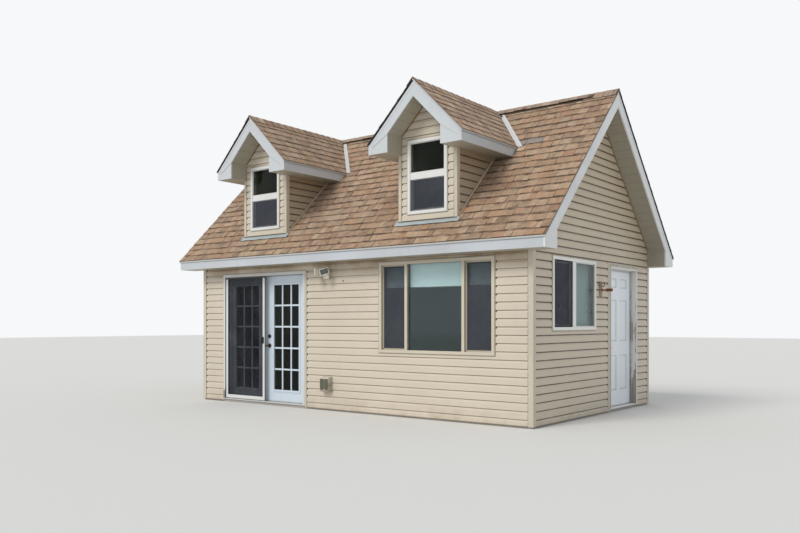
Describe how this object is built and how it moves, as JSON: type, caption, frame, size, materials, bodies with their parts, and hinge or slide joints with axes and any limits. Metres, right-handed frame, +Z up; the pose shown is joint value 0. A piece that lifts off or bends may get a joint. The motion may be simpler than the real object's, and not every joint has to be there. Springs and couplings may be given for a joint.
{
  "type": "boathouse",
  "caption": "Small timber-framed boathouse with lap siding, steep shingled roof, gabled dormers, French doors with a sliding screen and a side door.",
  "frame": {"origin": "middle of the plan over the siding, at ground level under the floor slab", "axes": "+X along the front to the right as seen from outside, -Y towards the front, +Z up"},
  "size_m": [6.714, 4.294, 4.441],
  "materials": {
    "siding": "satin vinyl",
    "trim_white": "satin",
    "soffit": "satin vinyl",
    "shingle": "rough mineral granules",
    "framing": "rough sawn",
    "concrete": "matt",
    "window_vinyl": "satin",
    "window_almond": "satin",
    "glass": "clear",
    "door_white": "satin",
    "jamb_white": "painted, peeling",
    "dark_metal": "dark bronze",
    "screen_frame": "painted",
    "screen_mesh": "woven mesh",
    "knob_brass": "worn",
    "flashing": "coated sheet",
    "fitting_cream": "weathered"
  },
  "bodies": {
    "house": {"floor_slab": "concrete", "front_wall_left": "framing", "front_wall_over_doors": "framing", "front_wall_right": "framing", "right_wall_front": "framing", "right_wall_rear": "framing", "right_gable": "framing", "left_wall": "framing", "rear_wall": "framing", "corner_posts": "siding", "loft_floor": "framing", "roof_front": "shingle", "roof_rear": "shingle", "ridge_cap": "shingle", "eave_fascias": "trim_white", "rake_trims": "trim_white", "soffits": "soffit", "left_dormer_front": "framing", "left_dormer_cheeks": "framing", "left_dormer_roof": "shingle", "left_dormer_trim": "trim_white", "right_dormer_front": "framing", "right_dormer_cheeks": "framing", "right_dormer_roof": "shingle", "right_dormer_trim": "trim_white", "dormer_soffits": "soffit", "dormer_flashings": "flashing", "dormer_windows": "window_vinyl", "picture_window": "window_almond", "side_window": "window_vinyl", "window_glass": "glass", "french_frame": "jamb_white", "side_door_frame": "jamb_white", "floodlight": "fitting_cream", "lamp_bracket": "fitting_cream", "socket_box": "fitting_cream"},
    "french_leaf_right": {"french_leaf_right": "door_white", "french_glass_right": "glass", "french_handle": "dark_metal"},
    "french_leaf_left": {"french_leaf_left": "door_white", "french_glass_left": "glass"},
    "sliding_screen": {"screen_frame": "screen_frame", "screen_mesh": "screen_mesh"},
    "side_door": {"side_door_leaf": "door_white", "side_door_knob": "knob_brass"}
  },
  "joints": [
    {"name": "french_leaf_right_swing", "type": "hinge", "parent": "house", "child": "french_leaf_right", "pos_m": [-0.7615, -1.734, 0], "axis": [0, 0, -1], "range_deg": [0, 100]},
    {"name": "french_leaf_left_swing", "type": "hinge", "parent": "house", "child": "french_leaf_left", "pos_m": [-2.5085, -1.734, 0], "axis": [0, 0, 1], "range_deg": [0, 100]},
    {"name": "screen_slide", "type": "slide", "parent": "house", "child": "sliding_screen", "axis": [1, 0, 0], "range_m": [0, 0.82]},
    {"name": "side_door_swing", "type": "hinge", "parent": "house", "child": "side_door", "pos_m": [2.914, 1.3435, 0], "axis": [0, 0, -1], "range_deg": [0, 100]}
  ]
}
